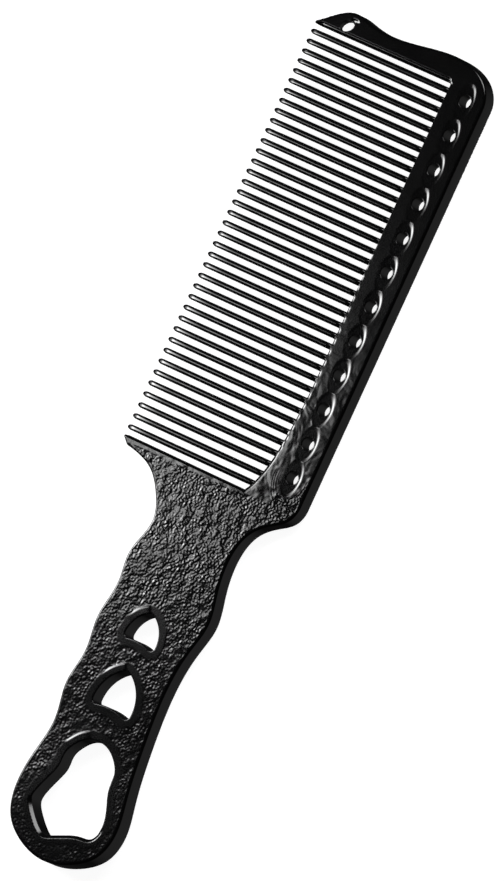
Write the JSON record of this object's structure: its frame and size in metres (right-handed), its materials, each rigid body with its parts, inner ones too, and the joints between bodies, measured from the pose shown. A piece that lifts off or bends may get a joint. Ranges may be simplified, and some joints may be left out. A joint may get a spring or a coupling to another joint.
{
  "type": "barber's clipper comb",
  "caption": "Flat black resin clipper comb: grip handle with finger openings, holed spine and a row of graduated bevelled teeth between two guards.",
  "frame": {"origin": "middle of the comb's overall box in X and Y, on the flat back face that it rests on", "axes": "+X along the comb from the handle's end to the tip, +Y across it from the spine to the teeth tips, +Z out of the front face"},
  "size_m": [0.24, 0.06, 0.0066],
  "materials": {
    "gloss_resin": "polished black moulded resin",
    "grained_resin": "glossy black moulded resin with a fine pebbled grip grain"
  },
  "bodies": {
    "root": {"handle": "grained_resin", "spine": "gloss_resin", "end_guard": "gloss_resin", "tooth_01": "gloss_resin", "tooth_02": "gloss_resin", "tooth_03": "gloss_resin", "tooth_04": "gloss_resin", "tooth_05": "gloss_resin", "tooth_06": "gloss_resin", "tooth_07": "gloss_resin", "tooth_08": "gloss_resin", "tooth_09": "gloss_resin", "tooth_10": "gloss_resin", "tooth_11": "gloss_resin", "tooth_12": "gloss_resin", "tooth_13": "gloss_resin", "tooth_14": "gloss_resin", "tooth_15": "gloss_resin", "tooth_16": "gloss_resin", "tooth_17": "gloss_resin", "tooth_18": "gloss_resin", "tooth_19": "gloss_resin", "tooth_20": "gloss_resin", "tooth_21": "gloss_resin", "tooth_22": "gloss_resin", "tooth_23": "gloss_resin", "tooth_24": "gloss_resin", "tooth_25": "gloss_resin", "tooth_26": "gloss_resin", "tooth_27": "gloss_resin", "tooth_28": "gloss_resin", "tooth_29": "gloss_resin", "tooth_30": "gloss_resin", "tooth_31": "gloss_resin", "tooth_32": "gloss_resin", "tooth_33": "gloss_resin", "tooth_34": "gloss_resin", "tooth_35": "gloss_resin", "tooth_36": "gloss_resin", "tooth_37": "gloss_resin", "tooth_38": "gloss_resin", "tooth_39": "gloss_resin"}
  },
  "joints": []
}
